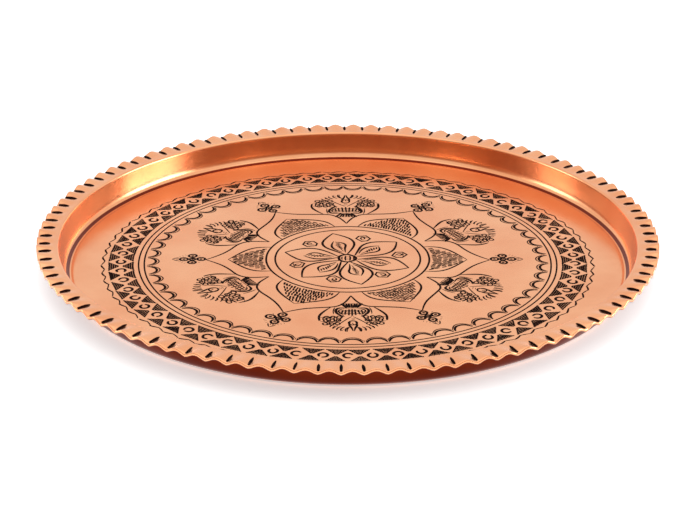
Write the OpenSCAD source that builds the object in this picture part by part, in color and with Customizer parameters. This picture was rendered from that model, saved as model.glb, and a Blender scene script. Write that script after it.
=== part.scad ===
// Round copper serving tray with a fluted rim and an engraved floor.
// The sheet is one solid. The black compound in its engraved lines is modelled as separate
// solids, each seated in a groove of the same outline cut in the sheet.
// Origin: centre of the underside, on the surface the tray rests on. +Z is up.

/* [Sheet] */
// Diameter over the crests of the rim
tray_d = 380; // [360:1:400]
// Thickness of the copper sheet
sheet = 1.2; // [1:0.1:1.6]
// Height of the flange's inner edge above the table
flange_z = 18.6; // [16:0.1:22]
// Radius at which the flat floor starts to turn up
floor_r = 168.6; // [165:0.1:169]
// Radius of the flange's inner edge
flange_r = 176.6; // [174:0.1:178]

/* [Rim flutes] */
// Number of flutes beaten into the rim
flutes = 95; // [60:1:110]
// Rise of the crests above the flange at the outer edge
crest_rise = 1.8; // [1:0.1:2.2]
// Drop of the valleys below the flange at the outer edge
valley_drop = 0.9; // [0.5:0.1:1.2]
// Radius at which the valleys start
flute_r = 178; // [177:0.5:182]
// Inner end of each chisel notch
notch_r1 = 180.6; // [179:0.1:183]
// Outer end of each chisel notch
notch_r2 = 187.4; // [185:0.1:188]
// Width of each chisel notch at its outer end
notch_w = 1.8; // [0.8:0.1:2]

/* [Engraving] */
// Depth of the engraved grooves
groove = 0.35; // [0.2:0.05:0.5]
// Width of a fine engraved line
fine = 0.7; // [0.4:0.05:0.8]
// Width of a broad engraved line
broad = 1.2; // [0.8:0.05:1.3]
// Repeats of wedge and ring round the lattice band
lattice_n = 62; // [48:1:66]
// Scallops round the inner border
scallop_n = 57; // [40:1:60]
// Teeth of the zigzag line outside the lattice
zigzag_n = 78; // [60:1:90]
// Size of the border from front to back over its size from left to right
border_oval = 0.97; // [0.95:0.01:1]

/* [Hidden] */
$fn = 96;
RIM_R = tray_d / 2;
RUN = RIM_R - flute_r;
CREST_Z = flange_z + crest_rise;
VALLEY_Z = flange_z - valley_drop;
CREST_SLOPE = -atan(crest_rise / RUN);
VALLEY_SLOPE = atan(valley_drop / RUN);
COVE_W = 5.7;
COVE_H = 5;
ROUND = 0.6;
LIFT = 1;
NOTCH_PROUD = 0.25;
VALLEY_LIFT = 0.1;
MOTIFS = 6;
STAR_TURN = 60;
// Error of the hand-drawn layout at each bearing round the star
STRAY = [[0, -1.3], [30, -0.7], [60, 1.2], [90, 1], [120, 2.5], [150, 3], [180, 2],
         [210, 0.6], [240, 4.8], [270, 2], [300, 0], [330, -0.3], [360, -1.3]];

// Point of the floor plan at radius r and bearing a
function at(r, a) = [r * cos(a), r * sin(a)];
function unit(v) = v / norm(v);
// Point i of path p, moved sideways by s; a closed path wraps round
function beside(p, i, s, closed) =
    let (n = len(p),
         before = closed ? p[(i + n - 1) % n] : p[max(i - 1, 0)],
         after = closed ? p[(i + 1) % n] : p[min(i + 1, n - 1)],
         d = unit(after - before))
    p[i] + s * [-d[1], d[0]];
// Curve from a to c that leans towards b, in n steps
function bend(a, b, c, n) =
    [for (i = [0:n]) let (t = i / n) (1 - t) * (1 - t) * a + 2 * t * (1 - t) * b + t * t * c];
function mirrored(p) = [for (q = p) [q[0], -q[1]]];
function spun(p, turn) =
    [for (q = p) [q[0] * cos(turn) - q[1] * sin(turn), q[0] * sin(turn) + q[1] * cos(turn)]];
// A path drawn along +X, turned to its place in the border, which is a little oval
function in_border(p, turn) = [for (q = spun(p, turn)) [q[0], q[1] * border_oval]];
// A path drawn along +X, turned to its place in the hand-drawn star
function in_star(p, turn) =
    [for (q = spun(p, turn)) let (a = (atan2(q[1], q[0]) + 360) % 360) at(norm(q), a + lookup(a, STRAY))];
// Bearing of a piece of the rosette, which strays more towards the left
function rosette_turn(a) = a + 1.1 - 4.3 * cos(a);

// One engraved stroke of width w along path p
module stroke(p, w) {
    n = len(p);
    polygon(concat([for (i = [0:n - 1]) beside(p, i, w / 2, false)],
                   [for (i = [n - 1:-1:0]) beside(p, i, -w / 2, false)]));
}

// A closed engraved line of width w round path p
module loop_line(p, w) {
    n = len(p);
    polygon(concat([for (i = [0:n - 1]) beside(p, i, w / 2, true)],
                   [for (i = [0:n - 1]) beside(p, i, -w / 2, true)]),
            paths = [[for (i = [0:n - 1]) i], [for (i = [0:n - 1]) n + i]]);
}

// A round engraved line at radius r
module round_line(r, w) difference() {
    circle(r = r + w / 2);
    circle(r = r - w / 2);
}

// Turns a plan into filling flush with the floor, or into its cutter when lift is above 0
module sunk(lift) translate([0, 0, sheet - groove]) linear_extrude(groove + lift) children();

module repeated(n, turn = 0) for (i = [0:n - 1]) rotate(i * 360 / n + turn) children();

/* The copper sheet */

// Half section of the sheet: floor, coved foot, steep wall, and flange rising to the crests
module section() {
    wall_r = floor_r + COVE_W;
    cove_z = sheet + COVE_H;
    inner = concat(
        [[0, sheet]],
        bend([floor_r, sheet], [wall_r - 0.5, sheet + 0.2], [wall_r, cove_z], 6),
        bend([flange_r - 1.1, flange_z - 1.8], [flange_r - 0.9, flange_z], [flange_r + 0.8, flange_z], 4),
        [[flute_r, flange_z], [RIM_R - ROUND, CREST_Z], [RIM_R, CREST_Z - ROUND]]);
    outer = concat(
        [[RIM_R, VALLEY_Z - sheet + ROUND], [RIM_R - ROUND, VALLEY_Z - sheet]],
        bend([flange_r + 1.6, flange_z - sheet], [flange_r + 0.3, flange_z - sheet],
             [flange_r + 0.1, flange_z - sheet - 1.6], 4),
        bend([wall_r + sheet, cove_z - 0.4], [wall_r + 0.9, 0], [floor_r - 0.6, 0], 6),
        [[0, 0]]);
    polygon(concat(inner, outer));
}

// Air above a valley: a rounded wedge whose sharp bottom edge runs out along the valley
module valley_air() {
    depth = crest_rise + valley_drop;
    half = PI * RIM_R / flutes;
    translate([flute_r, 0, flange_z]) rotate([0, VALLEY_SLOPE, 0]) rotate([90, 0, 90])
        linear_extrude(RUN + LIFT)
        polygon([[0, VALLEY_LIFT],
                 [-half * 0.3, depth * 0.5], [-half * 0.62, depth * 0.87], [-half, depth + 0.05],
                 [-half, 2 * depth], [half, 2 * depth],
                 [half, depth + 0.05], [half * 0.62, depth * 0.87], [half * 0.3, depth * 0.5]]);
}

// Air below a crest: a plain wedge whose top edge runs out along the crest
module crest_air() {
    depth = crest_rise + valley_drop;
    half = PI * RIM_R / flutes;
    translate([flute_r, 0, flange_z - sheet]) rotate([0, CREST_SLOPE, 0]) rotate([90, 0, 90])
        linear_extrude(RUN + LIFT)
        polygon([[-half * 0.6, -2 * depth], [0, -0.1], [half * 0.6, -2 * depth]]);
}

// Filling of one chisel notch, lying along the bottom of a valley and pointed at its inner end
module notch(lift) {
    stretch = 1 / cos(VALLEY_SLOPE);
    start = (notch_r1 - flute_r) * stretch;
    end = (notch_r2 - flute_r) * stretch;
    half = notch_w / 2;
    translate([flute_r, 0, flange_z]) rotate([0, VALLEY_SLOPE, 0]) translate([0, 0, -groove])
        linear_extrude(groove + NOTCH_PROUD + lift)
        polygon([[start, 0], [start + 2, -half * 0.7], [end, -half], [end, half], [start + 2, half * 0.7]]);
}

module tray_body() color("#e39a6c") difference() {
    rotate_extrude() section();
    repeated(flutes) valley_air();
    repeated(flutes, 180 / flutes) crest_air();
    rim_notch_fills(LIFT);
    zigzag_fill(LIFT);
    outer_wedge_fills(LIFT);
    inner_wedge_fills(LIFT);
    lattice_ring_fills(LIFT);
    border_ring_outer_fill(LIFT);
    border_ring_inner_fill(LIFT);
    scallop_fills(LIFT);
    scallop_fine_fills(LIFT);
    for (i = [1:MOTIFS]) {
        medallion_fill(i, LIFT);
        sprig_fill(i, LIFT);
        leaf_fill(i, LIFT);
        petal_fill(i, LIFT);
    }
    star_outline_fill(LIFT);
    centre_ring_outer_fill(LIFT);
    centre_ring_inner_fill(LIFT);
    bud_fills(LIFT);
    hub_fill(LIFT);
}

/* Rim and border fillings */

module rim_notch_fills(lift = 0) color("#3a2218") repeated(flutes) notch(lift);

module zigzag_fill(lift = 0) color("#2b1610") sunk(lift)
    loop_line(in_border([for (i = [0:2 * zigzag_n - 1]) at(i % 2 == 0 ? 148.9 : 150.9, i * 180 / zigzag_n)], 0),
              fine);

module outer_wedge_fills(lift = 0) color("#2b1610") sunk(lift) for (i = [0:lattice_n - 1])
    polygon(in_border([at(140.6, 0), at(146.8, 2.3), at(147.2, 0), at(146.8, -2.3)], i * 360 / lattice_n));

module inner_wedge_fills(lift = 0) color("#2b1610") sunk(lift) for (i = [0:lattice_n - 1])
    polygon(in_border([at(137.6, 0), at(131.2, 2.5), at(131, 0), at(131.2, -2.5)], i * 360 / lattice_n));

module lattice_ring_fills(lift = 0) color("#2b1610") sunk(lift) for (i = [0:lattice_n - 1])
    translate(in_border([[139.2, 0]], (i + 0.5) * 360 / lattice_n)[0]) round_line(2.8, broad);

module border_ring(r, lift) sunk(lift)
    loop_line(in_border([for (i = [0:$fn - 1]) at(r, i * 360 / $fn)], 0), fine);

module border_ring_outer_fill(lift = 0) color("#2b1610") border_ring(128.3, lift);

module border_ring_inner_fill(lift = 0) color("#2b1610") border_ring(124.9, lift);

module scallop_fills(lift = 0) color("#2b1610") sunk(lift) for (i = [0:scallop_n - 1])
    stroke(in_border(bend(at(123.2, 2.7), at(115.6, 0), at(123.2, -2.7), 4), i * 360 / scallop_n), broad);

module scallop_fine_fills(lift = 0) color("#2b1610") sunk(lift) for (i = [0:scallop_n - 1])
    stroke(in_border(bend(at(120.4, 2.5), at(114.4, 0), at(120.4, -2.5), 4), i * 360 / scallop_n), fine);

/* Medallions: a fan on a short neck, drawn along +X and turned to its place */

module medallion(turn) {
    side = concat(bend([68.8, 6], [71.2, 11.4], [77, 18.4], 3),
                  bend([81, 20.6], [90, 24.2], [98.4, 16.6], 4));
    shoulder = bend([68.8, 4], [73.4, 12.6], [81.5, 6.4], 4);
    urn = concat(shoulder, bend([84, 3], [85.5, 0], [84, -3], 2),
                 mirrored([for (i = [4:-1:0]) shoulder[i]]));
    stroke(in_star(side, turn), fine);
    stroke(in_star(mirrored(side), turn), fine);
    stroke(in_star(bend([99.6, 15], [111.5, 0], [99.6, -15], 6), turn), fine);
    loop_line(in_star(urn, turn), fine);
    for (y = [-4:2:4])
        stroke(in_star([[70.8 + abs(y) * 0.3, y * 0.7], [80 - abs(y) * 0.5, y]], turn), fine);
    for (a = [-56:28:56]) {
        tip = 14.6 - abs(a) / 14;
        back = bend([4.4, 0], [8, -4.2], [tip, 0], 4);
        leaflet = concat(bend([4.4, 0], [8, 4.2], [tip, 0], 4), [for (i = [3:-1:1]) back[i]]);
        loop_line(in_star([for (q = spun(leaflet, a)) q + [85.4, 0]], turn), fine);
    }
    for (s = [-1, 1]) translate(in_star([[81.4, s * 12.8]], turn)[0]) round_line(2.6, fine);
}

module medallion_fill(i, lift = 0) color("#2b1610") sunk(lift) medallion(i * STAR_TURN - 30);

/* Sprigs: four small rings, a pointed tip and a dot each side */

module sprig(turn) {
    for (a = [45:90:315])
        translate(in_star([[94.2 + 3.9 * cos(a), 3.9 * sin(a)]], turn)[0]) round_line(2.1, fine);
    translate(in_star([[94.2, 0]], turn)[0]) circle(r = 0.8);
    stroke(in_star(bend([100.6, 2.6], [103.4, 1.6], [105, 0.7], 3), turn), fine);
    stroke(in_star(bend([100.6, -2.6], [103.4, -1.6], [105, -0.7], 3), turn), fine);
    for (s = [-1, 1]) translate(in_star([[94.2, s * 8]], turn)[0]) circle(r = 0.7);
}

module sprig_fill(i, lift = 0) color("#2b1610") sunk(lift) sprig(i * STAR_TURN);

/* Leaves: a pointed outline filled with short scale strokes */

module leaf(turn) {
    edge = bend([52.6, 18.2], [64, 16.6], [72.6, 0.9], 6);
    stroke(in_star(edge, turn), fine);
    stroke(in_star(mirrored(edge), turn), fine);
    for (row = [0:3])
        for (k = [0:5 - row]) {
            off = k - (5 - row) / 2;
            scale_cut = [for (q = spun([[-1.2, 0], [1.2, 0.5]], off * -9)) q + [55.2 + row * 4, off * 4.6]];
            stroke(in_star(scale_cut, turn), broad);
        }
}

module leaf_fill(i, lift = 0) color("#2b1610") sunk(lift) leaf(i * STAR_TURN);

/* The six-pointed star outline, drawn as ogee lines that turn towards each other in the bays */

module star_outline_fill(lift = 0) color("#2b1610") sunk(lift) for (i = [1:MOTIFS]) {
    lobe = concat(bend([86, 1.2], [76, 11.4], [69.4, 20.8], 4), bend([66.6, 24], [60.6, 30], [51.6, 28.2], 4));
    stroke(in_star(lobe, i * STAR_TURN), fine);
    stroke(in_star(mirrored(lobe), i * STAR_TURN), fine);
}

/* Centre */

module centre_ring_outer_fill(lift = 0) color("#2b1610") sunk(lift) round_line(50.2, fine);

module centre_ring_inner_fill(lift = 0) color("#2b1610") sunk(lift) round_line(44.7, fine);

// One petal of the rosette, swept slightly to one side, with a seed inside it
module petal() {
    one = bend([6.6, 1], [20, 14], [39.4, 0], 8);
    other = bend([39.4, 0], [24, -12.6], [6.6, -1], 8);
    loop_line(concat(one, [for (i = [1:8]) other[i]]), fine);
    polygon(concat(bend([12, 0], [18, 4.2], [25.4, 0.6], 4), bend([24.4, -0.6], [18, -3], [13, -0.6], 3)));
}

module petal_fill(i, lift = 0) color("#2b1610") sunk(lift)
    rotate(rosette_turn(i * STAR_TURN - 18)) petal();

module bud_fills(lift = 0) color("#2b1610") sunk(lift) for (i = [1:MOTIFS])
    rotate(rosette_turn(i * STAR_TURN + 13)) translate([32, 0]) {
        loop_line([[-3.4, 0], [-1.8, 3.4], [2.4, 3.2], [4.2, 0], [2.4, -3.2], [-1.8, -3.4]], fine);
        circle(r = 1.1);
    }

module hub_fill(lift = 0) color("#2b1610") sunk(lift) {
    round_line(4.6, fine);
    for (y = [-1.5:1.5:1.5]) translate([-2.2, y - 0.3]) square([4.4, 0.6]);
}

tray_body();
rim_notch_fills();
zigzag_fill();
outer_wedge_fills();
inner_wedge_fills();
lattice_ring_fills();
border_ring_outer_fill();
border_ring_inner_fill();
scallop_fills();
scallop_fine_fills();
star_outline_fill();
centre_ring_outer_fill();
centre_ring_inner_fill();
bud_fills();
hub_fill();
for (i = [1:MOTIFS]) {
    medallion_fill(i);
    sprig_fill(i);
    leaf_fill(i);
    petal_fill(i);
}
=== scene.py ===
import math
import random

import bmesh
import bpy
from mathutils import Matrix, Vector


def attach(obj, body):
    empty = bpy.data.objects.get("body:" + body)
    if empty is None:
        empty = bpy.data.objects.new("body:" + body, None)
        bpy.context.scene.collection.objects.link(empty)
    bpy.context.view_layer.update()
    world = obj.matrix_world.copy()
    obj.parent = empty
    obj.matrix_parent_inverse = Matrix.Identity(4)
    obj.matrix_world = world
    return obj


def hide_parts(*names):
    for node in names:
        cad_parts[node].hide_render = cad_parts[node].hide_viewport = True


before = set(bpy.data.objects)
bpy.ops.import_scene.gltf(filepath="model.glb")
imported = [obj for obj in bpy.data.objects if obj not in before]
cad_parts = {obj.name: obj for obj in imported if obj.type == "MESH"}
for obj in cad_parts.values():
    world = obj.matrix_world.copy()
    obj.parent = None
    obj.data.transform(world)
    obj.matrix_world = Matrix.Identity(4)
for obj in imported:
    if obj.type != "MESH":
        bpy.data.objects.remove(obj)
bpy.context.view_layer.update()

MM = 0.001

# ---------------------------------------------------------------- studio
# The tray lies on a white sweep that glows a little from below, lit by a broad overhead cloth
# and a tall cloth on each side. The camera stands low and far off, so the round tray looks
# like a long oval.


def linear(hex_colour):
    """Turns an sRGB hex colour into the linear colour that the shaders take."""
    parts = [int(hex_colour[i:i + 2], 16) / 255 for i in (1, 3, 5)]
    return [c / 12.92 if c <= 0.04045 else ((c + 0.055) / 1.055) ** 2.4 for c in parts] + [1.0]


def add(tree, kind, links=None, **settings):
    """Adds one node, sets its sockets and properties, and links what feeds it."""
    node = tree.nodes.new(kind)
    for key, value in settings.items():
        if hasattr(node, key):
            setattr(node, key, value)
        else:
            node.inputs[key.replace("_", " ")].default_value = value
    for key, source in (links or {}).items():
        tree.links.new(source, node.inputs[key])
    return node


def put_in_scene(name, mesh):
    piece = bpy.data.objects.new(name, mesh)
    bpy.context.collection.objects.link(piece)
    return piece


scene = bpy.context.scene
scene.view_settings.view_transform = "Standard"
scene.view_settings.look = "None"

floor_top = 1.2 * MM
elevation = math.radians(23.81)
distance = 1284 * MM
target = Vector((1.4 * MM, -6.6 * MM, floor_top))
forward = Vector((0, math.cos(elevation), -math.sin(elevation)))
camera_data = bpy.data.cameras.new("camera")
camera_data.lens = 107.8
camera_data.sensor_width = 36
camera = bpy.data.objects.new("camera", camera_data)
camera.matrix_world = (Matrix.Translation(target - forward * distance)
                       @ Matrix.Rotation(math.pi / 2 - elevation, 4, "X")
                       @ Matrix.Rotation(math.radians(0.19), 4, "Z"))
scene.collection.objects.link(camera)
scene.camera = camera


def soft_light(name, place, aim, size, watts, tint="#ffffff"):
    lamp = bpy.data.lights.new(name, "AREA")
    lamp.shape = "RECTANGLE"
    lamp.size, lamp.size_y = size
    lamp.energy = watts
    lamp.color = linear(tint)[:3]
    light = bpy.data.objects.new(name, lamp)
    way = Vector(aim) - Vector(place)
    light.matrix_world = Matrix.Translation(place) @ way.to_track_quat("-Z", "Y").to_matrix().to_4x4()
    scene.collection.objects.link(light)


soft_light("overhead", (0, 0.3, 1.6), (0, 0.05, 0), (1.8, 1.4), 3)
soft_light("right_cloth", (1.6, 0.05, 0.36), (0, 0, 0.02), (0.9, 0.6), 12)
soft_light("left_cloth", (-1.6, 0.25, 0.4), (0, 0, 0.02), (0.6, 0.6), 4)

# The room is white behind and overhead, and dim and warm low down behind the camera.
world = bpy.data.worlds.new("white_room")
world.use_nodes = True
scene.world = world
room = world.node_tree
way = add(room, "ShaderNodeTexCoord").outputs["Generated"]
axes = add(room, "ShaderNodeSeparateXYZ", {"Vector": way})
depth = add(room, "ShaderNodeMapRange", {"Value": axes.outputs["Y"]}, interpolation_type="SMOOTHSTEP",
            From_Min=-0.55, From_Max=0.35, To_Min=0.42, To_Max=0.95)
height = add(room, "ShaderNodeMapRange", {"Value": axes.outputs["Z"]}, interpolation_type="SMOOTHSTEP",
             From_Min=0.2, From_Max=0.5, To_Min=0.3, To_Max=0.98)
glow = add(room, "ShaderNodeMath", operation="MAXIMUM")
room.links.new(depth.outputs["Result"], glow.inputs[0])
room.links.new(height.outputs["Result"], glow.inputs[1])
tint = add(room, "ShaderNodeValToRGB", {"Fac": glow.outputs["Value"]})
tint.color_ramp.elements[0].position = 0.42
tint.color_ramp.elements[0].color = linear("#ffb184")
tint.color_ramp.elements[1].position = 0.85
tint.color_ramp.elements[1].color = linear("#ffffff")
backdrop = room.nodes["Background"]
room.links.new(glow.outputs["Value"], backdrop.inputs["Strength"])
room.links.new(tint.outputs["Color"], backdrop.inputs["Color"])

sweep_mesh = bpy.data.meshes.new("sweep")
bm = bmesh.new()
bmesh.ops.create_grid(bm, x_segments=1, y_segments=1, size=3.0)
bm.to_mesh(sweep_mesh)
bm.free()
sweep = put_in_scene("sweep", sweep_mesh)
paper = bpy.data.materials.new("white_seamless_paper")
paper.use_nodes = True
paper_shader = paper.node_tree.nodes["Principled BSDF"]
paper_shader.inputs["Base Color"].default_value = linear("#fafafa")
paper_shader.inputs["Roughness"].default_value = 0.9
paper_shader.inputs["Emission Color"].default_value = linear("#ffffff")
paper_shader.inputs["Emission Strength"].default_value = 0.45
sweep_mesh.materials.append(paper)

# ---------------------------------------------------------------- tray body
# One disc of copper, raised over a stake: flat floor, coved wall and a narrow flange. The
# smith beats the flange's outer half into 95 flutes over a grooved block, and files the lip.

sheet = 1.2
flange_z = 18.6
rim_r = 190.0
flutes = 95
flute_start = 178.0
crest_rise = 1.5
valley_drop = 0.7
columns_per_flute = 8
hand = random.Random(11)
valley_shift = [hand.uniform(-0.035, 0.035) for _ in range(flutes)]
valley_depth = [hand.uniform(0.88, 1.06) for _ in range(flutes)]


def arc(centre, radius, start, end, steps):
    """Points (r, z) of an arc in the section, with angles in degrees."""
    angles = [math.radians(start + (end - start) * i / steps) for i in range(steps + 1)]
    return [(centre[0] + radius * math.cos(a), centre[1] + radius * math.sin(a)) for a in angles]


def curve(a, b, c, steps):
    """Points of a curve from a to c that leans towards b."""
    ts = [i / steps for i in range(steps + 1)]
    return [tuple((1 - t) ** 2 * p + 2 * t * (1 - t) * q + t * t * s for p, q, s in zip(a, b, c))
            for t in ts]


top_side = [(r, sheet) for r in range(0, 160, 12)]
top_side += [(160, sheet + 0.03), (164, sheet + 0.12), (166.4, sheet + 0.2)]
top_side += curve((167.4, sheet + 0.2), (168.4, sheet + 0.15), (168.9, sheet - 0.25), 4)
top_side += curve((169.3, sheet - 0.25), (173.2, sheet + 0.2), (174.1, sheet + 5.0), 8)
top_side += curve((174.3, sheet + 6), (175.1, sheet + 11), (175.5, flange_z - 1.8), 6)
top_side += curve((175.6, flange_z - 1.1), (175.9, flange_z + 0.05), (177.2, flange_z), 4)
top_side += [(178, flange_z), (179.4, flange_z), (181, flange_z), (183, flange_z), (185, flange_z)]
top_side += [(186.8, flange_z), (188, flange_z - 0.05)]
lip = arc((188.2, flange_z - 0.9), 0.9, 75, 0, 4)[1:] + [(189.1, flange_z - 1.5)]
lip += [(188.8, flange_z - 1.9), (188.2, flange_z - 1.9)]
under_side = [(187, flange_z - 1.5), (185, flange_z - sheet), (181, flange_z - sheet)]
under_side += curve((178.6, flange_z - sheet), (177.0, flange_z - sheet), (176.7, flange_z - 2.8), 4)
under_side += curve((176.6, flange_z - 4), (176.3, sheet + 9), (175.5, sheet + 6.2), 5)
under_side += curve((175.1, 6.4), (173.6, 0.4), (164, 0), 9)
under_side += [(160, 0), (120, 0), (60, 0), (0, 0)]
section = top_side + lip + under_side


def flute_drop(r, turn):
    """How far the rim lies below the flange at radius r; turn counts flutes round the rim."""
    index = int(turn) % flutes
    across = abs(math.sin(math.pi * (turn - int(turn))))
    near_start = 1 - (turn - int(turn))
    depth = valley_depth[index] * near_start + valley_depth[(index + 1) % flutes] * (1 - near_start)
    reach = min(max((r - flute_start) / (189 - flute_start), 0), 1)
    valley = 1 - across ** 1.6
    return reach * (valley_drop * depth * valley - crest_rise * (1 - valley))


def flute_angle(turn):
    """Bearing in radians of a place on the rim, with each valley a little off its mark."""
    index = int(turn) % flutes
    part = turn - int(turn)
    shift = valley_shift[index] * (1 - part) + valley_shift[(index + 1) % flutes] * part
    return (turn + shift) * 2 * math.pi / flutes


bm = bmesh.new()
ring = [bm.verts.new((r * MM, 0, z * MM)) for r, z in section]
edges = [bm.edges.new((a, b)) for a, b in zip(ring, ring[1:])]
columns = flutes * columns_per_flute
bmesh.ops.spin(bm, geom=ring + edges, cent=(0, 0, 0), axis=(0, 0, 1), angle=2 * math.pi,
               steps=columns, use_merge=True, use_duplicate=False)
bmesh.ops.remove_doubles(bm, verts=bm.verts, dist=1e-6)
for vert in bm.verts:
    r = math.hypot(vert.co.x, vert.co.y) / MM
    if r < 1:
        continue
    turn = round(math.atan2(vert.co.y, vert.co.x) % (2 * math.pi) / (2 * math.pi) * columns)
    turn = (turn % columns) / columns_per_flute
    angle = flute_angle(turn)
    wobble = 0.12 * math.sin(3 * angle + 0.7) * min(r / rim_r, 1) ** 4
    vert.co.z -= flute_drop(r, turn) * MM
    vert.co.x = (r + wobble) * MM * math.cos(angle)
    vert.co.y = (r + wobble) * MM * math.sin(angle)
bmesh.ops.recalc_face_normals(bm, faces=bm.faces)
body_mesh = bpy.data.meshes.new("tray_sheet")
bm.to_mesh(body_mesh)
bm.free()
body_mesh.shade_smooth()
tray_sheet = put_in_scene("tray_sheet", body_mesh)

# Polished copper, planished all over with a flat-faced hammer and then buffed. It gives warm
# salmon reflections, a soft cloudiness from the hammer, and a fine satin from the buff.
copper = bpy.data.materials.new("planished_copper")
copper.use_nodes = True
tree = copper.node_tree
shader = tree.nodes["Principled BSDF"]
shader.inputs["Metallic"].default_value = 1.0
planish_mm = 14
place = add(tree, "ShaderNodeTexCoord").outputs["Object"]
clouds = add(tree, "ShaderNodeTexNoise", {"Vector": place}, Scale=1000 / (planish_mm * 3.0), Detail=3.0)
tone = add(tree, "ShaderNodeValToRGB", {"Fac": clouds.outputs["Fac"]})
tone.color_ramp.elements[0].position = 0.3
tone.color_ramp.elements[0].color = linear("#efa070")
tone.color_ramp.elements[1].position = 0.7
tone.color_ramp.elements[1].color = linear("#f8b384")
tree.links.new(tone.outputs["Color"], shader.inputs["Base Color"])
buff = add(tree, "ShaderNodeTexNoise", {"Vector": place}, Scale=1000 / 6.0, Detail=4.0)
gloss = add(tree, "ShaderNodeMapRange", {"Value": buff.outputs["Fac"]}, To_Min=0.17, To_Max=0.27)
tree.links.new(gloss.outputs["Result"], shader.inputs["Roughness"])
blows = add(tree, "ShaderNodeTexVoronoi", {"Vector": place}, feature="SMOOTH_F1",
            Scale=1000 / planish_mm, Smoothness=1.0)
dents = add(tree, "ShaderNodeBump", {"Height": blows.outputs["Distance"]}, Strength=0.06, Distance=0.0008)
tree.links.new(dents.outputs["Normal"], shader.inputs["Normal"])
body_mesh.materials.append(copper)

# The outside and underside take a dark red-brown copy of the copper: partly brown-red fire scale that no one
# polished, partly painted shade under the flange and next to the ground.
oxide_and_painted_shade = copper.copy()
oxide_and_painted_shade.name = "tarnished_copper_and_painted_shade"
ramp = next(n for n in oxide_and_painted_shade.node_tree.nodes if n.type == "VALTORGB").color_ramp
ramp.elements[0].color = linear("#6a220e")
ramp.elements[1].color = linear("#7c2d14")
body_mesh.materials.append(oxide_and_painted_shade)
# Faces that look downward get the dark copy, which paints shade onto the underside together with the fire
# scale.
for face in body_mesh.polygons:
    face.material_index = 1 if face.normal.z < -0.05 else 0

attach(tray_sheet, "root")
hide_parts("tray_body")

# ---------------------------------------------------------------- rim notches
# One chisel cut lies along the bottom of each valley. Each was struck by hand, so no two lean
# or end quite alike, and all are blackened with the same compound as the floor.

black = bpy.data.materials.new("rubbed_black_compound")
black.use_nodes = True
tree = black.node_tree
shader = tree.nodes["Principled BSDF"]
place = add(tree, "ShaderNodeTexCoord").outputs["Object"]
worn = add(tree, "ShaderNodeTexNoise", {"Vector": place}, Scale=1000 / 2.5, Detail=3.0)
soot = add(tree, "ShaderNodeValToRGB", {"Fac": worn.outputs["Fac"]})
soot.color_ramp.elements[0].position = 0.35
soot.color_ramp.elements[0].color = linear("#0a0302")
soot.color_ramp.elements[1].position = 0.75
soot.color_ramp.elements[1].color = linear("#2c120a")
tree.links.new(soot.outputs["Color"], shader.inputs["Base Color"])
shader.inputs["Roughness"].default_value = 0.85
shader.inputs["Specular IOR Level"].default_value = 0.04


class Cuts:
    """The engraved lines of one piece, gathered as the strokes of one flat curve."""

    spread = 1.65  # the compound stains a little past the tool's own width

    def __init__(self, name):
        self.name = name
        self.line = bpy.data.curves.new(name, "CURVE")
        self.line.dimensions = "3D"
        self.line.bevel_depth = 1.0
        self.line.bevel_resolution = 0
        self.line.resolution_u = 3
        self.line.use_fill_caps = True

    def stroke(self, points, width, closed=False, smooth=True, taper=0.35, start=None):
        """Adds a stroke through (x, y[, z]) points in mm; open ends narrow to taper, or start."""
        spline = self.line.splines.new("NURBS" if smooth and len(points) > 2 else "POLY")
        spline.points.add(len(points) - 1)
        last = len(points) - 1
        for i, (point, spot) in enumerate(zip(points, spline.points)):
            end = not closed and i in (0, last)
            height = point[2] if len(point) > 2 else sheet
            spot.co = (point[0] * MM, point[1] * MM, height * MM, 1)
            narrow = start if start and i == 0 else taper
            spot.radius = width / 2 * self.spread * MM * (narrow if end else 1)
        if spline.type == "NURBS":
            spline.order_u = 3
            spline.use_endpoint_u = not closed
        spline.use_cyclic_u = closed

    def finish(self, *nodes, proud=0.1, level=True):
        """Turns the strokes into one flat-topped mesh that replaces its CAD nodes."""
        holder = bpy.data.objects.new(self.name, self.line)
        mesh = bpy.data.meshes.new_from_object(holder)
        bpy.data.objects.remove(holder)
        if level:
            middle = sheet * MM
            for vert in mesh.vertices:
                vert.co.z = middle + max(min((vert.co.z - middle) * 0.5, proud * MM), -proud * MM)
        mesh.shade_flat()
        mesh.materials.clear()
        mesh.materials.append(black)
        piece = put_in_scene(self.name, mesh)
        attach(piece, "root")
        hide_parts(*nodes)
        return piece


notches = Cuts("rim_notches")
for i in range(flutes):
    bearing = flute_angle(i)
    lean = hand.uniform(-0.0035, 0.0035)
    near = 180.4 + hand.uniform(-0.5, 0.6)
    far = 187.6 + hand.uniform(-0.5, 0.5)
    path = []
    for part in (0, 0.25, 0.7, 1):
        r = near + (far - near) * part
        a = bearing + lean * (part - 0.5)
        path.append((r * math.cos(a), r * math.sin(a), flange_z - flute_drop(r, i) + 0.02))
    notches.stroke(path, hand.uniform(1.2, 1.4), taper=0.85, start=0.3)
notches.finish("rim_notch_fills", level=False)

# ---------------------------------------------------------------- zigzag line
# A chisel walked round the floor leaves short strokes that step in and out, outside the lattice.


border_oval = 0.97


def at(r, degrees):
    """A point of the border, which was marked out a little shorter from front to back."""
    a = math.radians(degrees)
    return (r * math.cos(a), r * math.sin(a) * border_oval)


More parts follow.
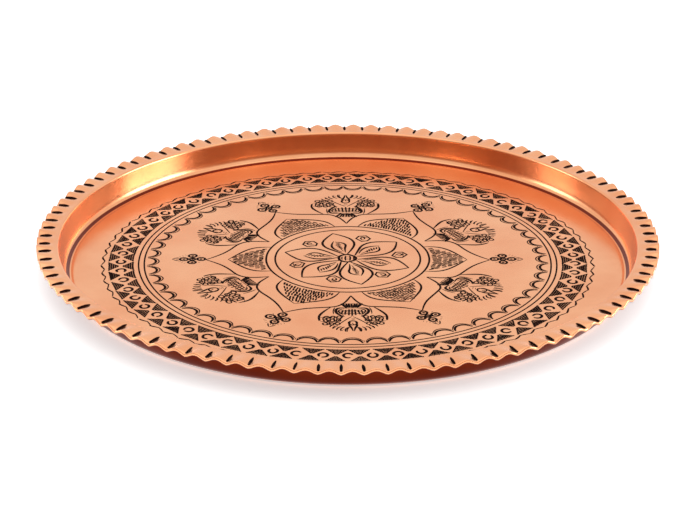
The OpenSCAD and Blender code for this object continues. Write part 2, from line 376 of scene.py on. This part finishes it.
zigzag = Cuts("zigzag_line")
teeth = 78
for i in range(teeth):
    start = i * 360 / teeth + hand.uniform(-0.25, 0.25)
    half = 180 / teeth
    zigzag.stroke([at(150.9 + hand.uniform(-0.3, 0.3), start), at(150.6, start + half * 0.4),
                   at(148.8 + hand.uniform(-0.3, 0.3), start + half)], 0.95, taper=0.6)
    zigzag.stroke([at(148.9, start + half * 0.95), at(149.3, start + half * 1.4),
                   at(150.8, start + half * 1.95)], 0.7, taper=0.5)
zigzag.finish("zigzag_fill")

# ---------------------------------------------------------------- lattice band
# Wedges point at each other from the band's two edges, and a small ring sits in each diamond
# between them. Each wedge is an outline packed with curved chisel strokes.

repeats = 62
pitch = 360 / repeats


def wedge(cuts, bearing, base_r, tip_r, half):
    """One hatched wedge, with its base at base_r and its tip at tip_r; half is in degrees."""
    rows = 5
    for row in range(rows):
        part = (row + 0.35) / rows
        r = base_r + (tip_r - base_r) * part
        wide = half * (1 - part) + 0.25
        bow = (tip_r - base_r) * 0.1
        cuts.stroke([at(r, bearing - wide), at(r + bow, bearing + hand.uniform(-0.2, 0.2)),
                     at(r, bearing + wide)], hand.uniform(0.7, 0.9), taper=0.75)
    for side in (-1, 1):
        cuts.stroke([at(base_r, bearing + side * half), at(tip_r, bearing + side * 0.12)], 0.7, taper=0.7)
    for k in (-0.45, 0, 0.45):
        cuts.stroke([at(base_r, bearing + k * half),
                     at(base_r + (tip_r - base_r) * 0.62, bearing + k * half * 0.5)], 0.5, taper=0.6)


outer_wedges = Cuts("outer_wedges")
inner_wedges = Cuts("inner_wedges")
small_rings = Cuts("small_rings")
for i in range(repeats):
    bearing = i * pitch + hand.uniform(-0.3, 0.3)
    wedge(outer_wedges, bearing, 147 + hand.uniform(-0.3, 0.3), 140.3, 2.45)
    wedge(inner_wedges, bearing + hand.uniform(-0.3, 0.3), 131.2 + hand.uniform(-0.2, 0.3), 137.8, 2.65)
    centre = at(139.2 + hand.uniform(-0.3, 0.3), bearing + pitch / 2)
    gap = hand.uniform(0, 360)
    open_by = hand.choice((30, 50, 90))
    loop = []
    for k in range(9):
        a = math.radians(gap + open_by / 2 + (360 - open_by) * k / 8)
        radius = 2.8 * (1 + hand.uniform(-0.06, 0.06))
        loop.append((centre[0] + radius * math.cos(a), centre[1] + radius * math.sin(a)))
    small_rings.stroke(loop, 1.05, taper=0.7)
outer_wedges.finish("outer_wedge_fills")
inner_wedges.finish("inner_wedge_fills")
small_rings.finish("lattice_ring_fills")

# ---------------------------------------------------------------- border rings
# Two fine rings scribed with a compass, one each side of a plain band.


def scribed_ring(name, node, r, width, oval=border_oval):
    """A closed line at radius r; oval is its size from front to back over its width."""
    cuts = Cuts(name)
    steps = 72
    loop = [at(r + hand.uniform(-0.08, 0.08), i * 360 / steps) for i in range(steps)]
    cuts.stroke([(x, y / border_oval * oval) for x, y in loop], width, closed=True)
    cuts.finish(node)


scribed_ring("border_ring_outer", "border_ring_outer_fill", 128.3, 0.62)
scribed_ring("border_ring_inner", "border_ring_inner_fill", 124.9, 0.62)

# ---------------------------------------------------------------- scallops
# A broad gouged arc and a fine one beside it hang inside the border, with short ticks where
# two scallops meet.

scallops = Cuts("scallops")
fine_scallops = Cuts("fine_scallops")
scallop_count = 57
for i in range(scallop_count):
    bearing = i * 360 / scallop_count + hand.uniform(-0.3, 0.3)
    dip = hand.uniform(-0.4, 0.4)
    scallops.stroke([at(123.0, bearing - 2.75), at(120.6, bearing - 2.5), at(117.6 + dip, bearing - 1.1),
                     at(117.6 + dip, bearing + 1.1), at(120.6, bearing + 2.5), at(123.0, bearing + 2.75)],
                    1.0, taper=0.5)
    fine_scallops.stroke([at(120.2, bearing - 2.95), at(118.0, bearing - 2.3), at(115.7 + dip, bearing - 0.9),
                          at(115.7 + dip, bearing + 0.9), at(118.0, bearing + 2.3), at(120.0, bearing + 2.9)],
                         0.5, taper=0.5)
    for k in (-0.5, 0, 0.5):
        joint = bearing + 180 / scallop_count + k
        scallops.stroke([at(121.9, joint), at(119.6 + abs(k) * 1.6, joint + k * 0.2)], 0.55, taper=0.5)
scallops.finish("scallop_fills")
fine_scallops.finish("scallop_fine_fills")

# ---------------------------------------------------------------- medallions
# Six palmettes stand on short necks in the star's bays: a hatched urn, two scrolls, a seed
# pod and a fan of leaflets. Each is cut freehand over the same sketch.

sixth = 60
# Degrees by which the layout strays at each 30 degrees of bearing.
stray = [-1.3, -0.7, 1.2, 1, 2.5, 3, 2, 0.6, 4.8, 2, 0, -0.3]


def spun(points, degrees):
    a = math.radians(degrees)
    return [(x * math.cos(a) - y * math.sin(a), x * math.sin(a) + y * math.cos(a)) for x, y in points]


def turned(points, degrees):
    """Turns points to their place in the star; the hand layout strays by a few degrees."""
    placed = []
    for x, y in spun(points, degrees):
        bearing = math.degrees(math.atan2(y, x)) % 360
        step = int(bearing / 30)
        part = bearing / 30 - step
        off = stray[step % 12] * (1 - part) + stray[(step + 1) % 12] * part
        a = math.radians(bearing + off)
        placed.append((math.hypot(x, y) * math.cos(a), math.hypot(x, y) * math.sin(a)))
    return placed


def rosette_turn(degrees):
    """Bearing of a petal or bud; the rosette strays more towards the left."""
    return degrees + 1.1 - 4.3 * math.cos(math.radians(degrees))


def round_cut(cuts, centre, radius, width, turn, points=6):
    spots = []
    for k in range(points):
        a = 2 * math.pi * k / points
        grow = radius * (1 + hand.uniform(-0.12, 0.12))
        spots.append((centre[0] + grow * math.cos(a), centre[1] + grow * math.sin(a)))
    cuts.stroke(turned(spots, turn), width, closed=True)


def medallion(number):
    cuts = Cuts(f"medallion_{number}")
    turn = number * sixth - 30

    def cut(points, width, **how):
        loose = [(x + hand.uniform(-0.25, 0.25), y + hand.uniform(-0.25, 0.25)) for x, y in points]
        cuts.stroke(turned(loose, turn), width, **how)

    for side in (-1, 1):
        cut([(70.5, side * 13.6), (76, side * 18), (83.5, side * 22), (88.6, side * 21.4)], 1.0)
        cut([(71.5, side * 11), (75, side * 12.4), (80.5, side * 12)], 0.75)
        cut([(66.2, side * 6.8), (69.5, side * 5.6), (72.4, side * 3.4)], 0.9)
        cut([(72.6, side * 3.6), (71.4, side * 8.4), (76, side * 11), (81.8, side * 8.6),
             (84, side * 5.2)], 1.1)
        cut([(73.6, side * 5), (74.4, side * 8.6), (78.6, side * 8.6), (82, side * 5.6)], 0.7)
        cut([(84, side * 0.6), (89, side * 5.4), (95, side * 9.4)], 0.8)
        cut([(82.6, side * 5.8), (88, side * 7.6), (92.6, side * 12)], 0.9)
        cut([(84.4, side * 10.4), (87.6, side * 8.8), (91, side * 11.6)], 0.8)
        cut([(91.4, side * 1.8), (95, side * 2.9), (99, side * 0.8), (103.4, side * 0.3)], 0.95)
        cut([(97.6, side * 2.2), (101, side * 4.4), (104, side * 4)], 0.8)
        for k in range(5):
            y = side * (11.6 + k * 2.3)
            cut([(84.4 - k * 0.2, y), (86.8, y + side * 0.7), (89.4 - k * 0.1, y)], 0.85)
        cut([(84.2, side * 11.4), (83.4, side * 16), (84.6, side * 20.6)], 0.6)
        cut([(90, side * 12.4), (91.4, side * 16.4), (90, side * 20.4)], 0.8)
        for k in range(7):
            a = math.radians(side * (14 + k * 9.6))
            near, far = 11.5 + 0.4 * k, 17.6 - 0.2 * k
            base = (87 + near * math.cos(a), near * math.sin(a) * 1.12)
            tip = (87 + far * math.cos(a), far * math.sin(a) * 1.12)
            bend_out = (87 + 0.5 * (near + far) * math.cos(a + side * 0.12),
                        0.5 * (near + far) * math.sin(a + side * 0.12) * 1.12)
            cut([base, bend_out, tip], 0.9, taper=0.5)
            if k % 2:
                cut([tip, (tip[0] - 1.6, tip[1] - side * 1.6)], 0.8)
        for k in range(3):
            cut([(93 + k * 2.1, side * (11 - k * 1.2)), (95 + k * 2.1, side * (12.6 - k * 1.2))], 0.8)
        for k in range(9):
            x = 84.5 + 4.4 * (k % 3)
            y = side * (8.5 + 4 * (k // 3) + (k % 3) * 0.6)
            round_cut(cuts, (x, y), 1.7, 0.62, turn)
    round_cut(cuts, (92.6, 0), 3.2, 0.7, turn)
    for k in range(-3, 4):
        cut([(66.6, k * 1.9), (72, k * 0.95)], 1.0, taper=0.8)
        cut([(74 + abs(k) * 0.5, k * 2), (83 - abs(k) * 0.9, k * 2.3)], 0.85, taper=0.8)
    cut([(66.3, -6.9), (66.3, 6.9)], 0.7)
    cut([(72.8, -3.6), (72.8, 3.6)], 0.7)
    for r, wide in ((75.2, 7.6), (77.4, 9.4), (79.6, 9)):
        cut([(r, -wide), (r + 0.8, 0), (r, wide)], 0.7)
    cut([(92.6, -0.4), (94.6, 0.4)], 1.1)
    for k in range(3):
        cut([(87 + k * 1.5, -1 + k * 0.3), (86.4 + k * 1.5, 1.2)], 0.7)
    cuts.finish(f"medallion_fill_{number}")


for number in range(1, 7):
    medallion(number)

# ---------------------------------------------------------------- sprigs
# A four-petalled flower with a small pointed bud, punched where two lobes of the star meet.


def sprig(number):
    cuts = Cuts(f"sprig_{number}")
    turn = number * sixth + hand.uniform(-1.5, 1.5)
    middle = 95.4
    for x, y in ((5.2, 0), (-5.2, 0), (0, 5), (0, -5)):
        round_cut(cuts, (middle + x, y), 2.7, 0.95, turn)
        round_cut(cuts, (middle + x, y), 0.6, 0.7, turn, 4)
    round_cut(cuts, (middle, 0), 1.9, 0.9, turn)
    round_cut(cuts, (middle, 0), 0.4, 0.6, turn, 4)
    for side in (-1, 1):
        cuts.stroke(turned([(middle + 8.4, side * 2.6), (middle + 10.4, side * 2),
                            (middle + 12.4, side * 0.2)], turn), 0.8)
        cuts.stroke(turned([(middle + 8.2, side * 0.9), (middle + 10, side * 0.7)], turn), 0.9)
        for k in range(3):
            cuts.stroke(turned([(middle + 4 + k * 1.6, side * (5.8 - k * 1.3)),
                                (middle + 5 + k * 1.6, side * (6.8 - k * 1.3))], turn), 0.55)
        cuts.stroke(turned([(middle - 3.4, side * 4.6), (middle - 4.6, side * 5.6)], turn), 0.6)
    cuts.finish(f"sprig_fill_{number}")


for number in range(1, 7):
    sprig(number)

# ---------------------------------------------------------------- star outline
# One fine line draws a six-pointed star of ogee lobes. Its ends cross and hook in the bays.

star = Cuts("star_outline")
for i in range(6):
    turn = i * sixth
    for side in (-1, 1):
        spread = hand.uniform(-0.6, 0.6)
        star.stroke(turned([(87, side * 0.2), (79, side * 6.4), (72.4 + spread, side * 15.6),
                            (68.6, side * 22.6), (64.6 + spread, side * 27.2), (58.5, side * 28.8),
                            (52.5, side * 28.4), (47.9, side * 27.6)], turn), 0.8, taper=0.6)
star.finish("star_outline_fill")

# ---------------------------------------------------------------- leaves
# Six pointed leaves stand on the centre ring, each filled with overlapping scale strokes.


def leaf(number):
    cuts = Cuts(f"leaf_{number}")
    turn = number * sixth
    for side in (-1, 1):
        root = math.radians(side * 22)
        cuts.stroke(turned([(50.2 * math.cos(root), 50.2 * math.sin(root)),
                            (54, side * 19.4), (61, side * 16), (67.6, side * 8.2), (73.4, 0)], turn), 0.85)
    for row in range(6):
        r = 53.6 + row * 3.1
        wide = 17 * (1 - (row + 0.2) / 6.4) ** 0.68
        count = max(int(wide * 2 / 1.75), 1)
        for k in range(count):
            y = -wide + 2 * wide * (k + 0.5) / count
            x = math.sqrt(max(r * r - y * y, 1)) + hand.uniform(-0.5, 0.5)
            tilt = hand.uniform(0.1, 0.8)
            cuts.stroke(turned([(x - 1.3, y - tilt), (x, y + hand.uniform(-0.3, 0.3)),
                                (x + 1.5, y + tilt)], turn), hand.uniform(0.6, 0.95), taper=0.85)
    cuts.finish(f"leaf_fill_{number}")


for number in range(1, 7):
    leaf(number)

# ---------------------------------------------------------------- centre rings and rosette
# Two compass rings hold a rosette of six leaning petals, each with a seed pod. Six square
# buds sit between the tips, and a ribbed hub in the middle.

scribed_ring("centre_ring_outer", "centre_ring_outer_fill", 50.2, 0.78, oval=1)
scribed_ring("centre_ring_inner", "centre_ring_inner_fill", 44.7, 0.72, oval=1)


def petal(number):
    cuts = Cuts(f"petal_{number}")
    turn = rosette_turn(number * sixth - 18)
    cuts.stroke(spun([(6.4, 0.6), (12, 4.6), (20, 10.4), (30, 9.8), (39.8, 0)], turn), 0.98, taper=0.6)
    cuts.stroke(spun([(39.8, 0), (33, -7.4), (24, -10.4), (15, -7.6), (6.4, -1.4)], turn), 0.95, taper=0.6)
    cuts.stroke(spun([(10, 1.2), (15, 5.2), (22, 5.6), (27.4, 2.4)], turn), 0.95)
    cuts.stroke(spun([(9, -0.8), (15, -1.6), (20, -4), (24.4, -2.6), (26.4, 1.8)], turn), 0.9)
    for k in range(5):
        cuts.stroke(spun([(15.4 + k * 1.9, -0.6 + hand.uniform(-0.4, 0.4)),
                            (17 + k * 1.9, 2.6 - abs(k - 2) * 0.5)], turn), 1.15, taper=0.5)
    cuts.stroke(spun([(11, 0), (16, 1.2), (23, 0.4)], turn), 0.6)
    cuts.finish(f"petal_fill_{number}")


for number in range(1, 7):
    petal(number)

buds = Cuts("buds")
for i in range(6):
    turn = rosette_turn(i * sixth + 13)
    buds.stroke(spun([(27.6, -0.6), (30.8, 4.2), (35, 3.6), (37, -0.6), (33.4, -4.4), (29.6, -3.6)], turn),
                0.8, closed=True, smooth=False)
    buds.stroke(spun([(29.4, -1), (31.6, 2), (34.4, 1), (33, -1.6), (31, -0.6)], turn), 0.7)
    buds.stroke(spun([(34.8, 2.4), (35, 0), (34, -2.6)], turn), 0.6)
buds.finish("bud_fills")

hub = Cuts("hub")
round_cut(hub, (0, 0), 5.5, 1.1, 0, 12)
for side in (-1, 1):
    hub.stroke([(side * 1.2, -3.6), (side * 1.9, 0), (side * 1.2, 3.6)], 1.1)
    hub.stroke([(side * 3.4, -2.4), (side * 3.9, 0), (side * 3.4, 2.4)], 0.8)
for k in (-1, 0, 1):
    hub.stroke([(-0.9, k * 2.2), (0.9, k * 2.2)], 0.6)
hub.finish("hub_fill")
